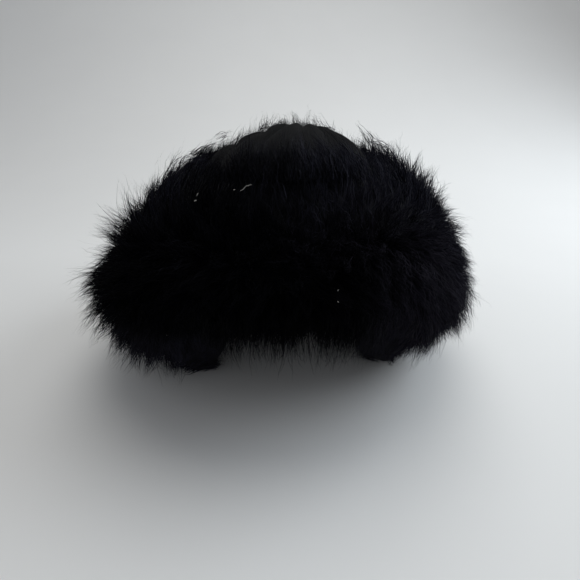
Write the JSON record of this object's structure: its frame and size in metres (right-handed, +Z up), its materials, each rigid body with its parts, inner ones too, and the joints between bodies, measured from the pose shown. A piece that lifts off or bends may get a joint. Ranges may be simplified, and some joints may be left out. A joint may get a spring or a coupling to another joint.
{
  "type": "winter hat",
  "caption": "Winter hat: a soft ribbed knit cap sunk in a very deep cuff of long black fur, arched over the brow and resting on its sides and back.",
  "frame": {"origin": "middle of the hat's outline seen from above, on the surface that it rests on", "axes": "+Z up through the crown, front with its arch towards -Y, the wearer's left towards +X"},
  "size_m": [0.3686, 0.3812, 0.2229],
  "materials": {
    "knit": "matte black knit in soft ribs",
    "fur": "long black hair with a faint cool sheen"
  },
  "bodies": {
    "root": {"knit_cap": "knit", "fur_cuff": "fur"}
  },
  "joints": []
}
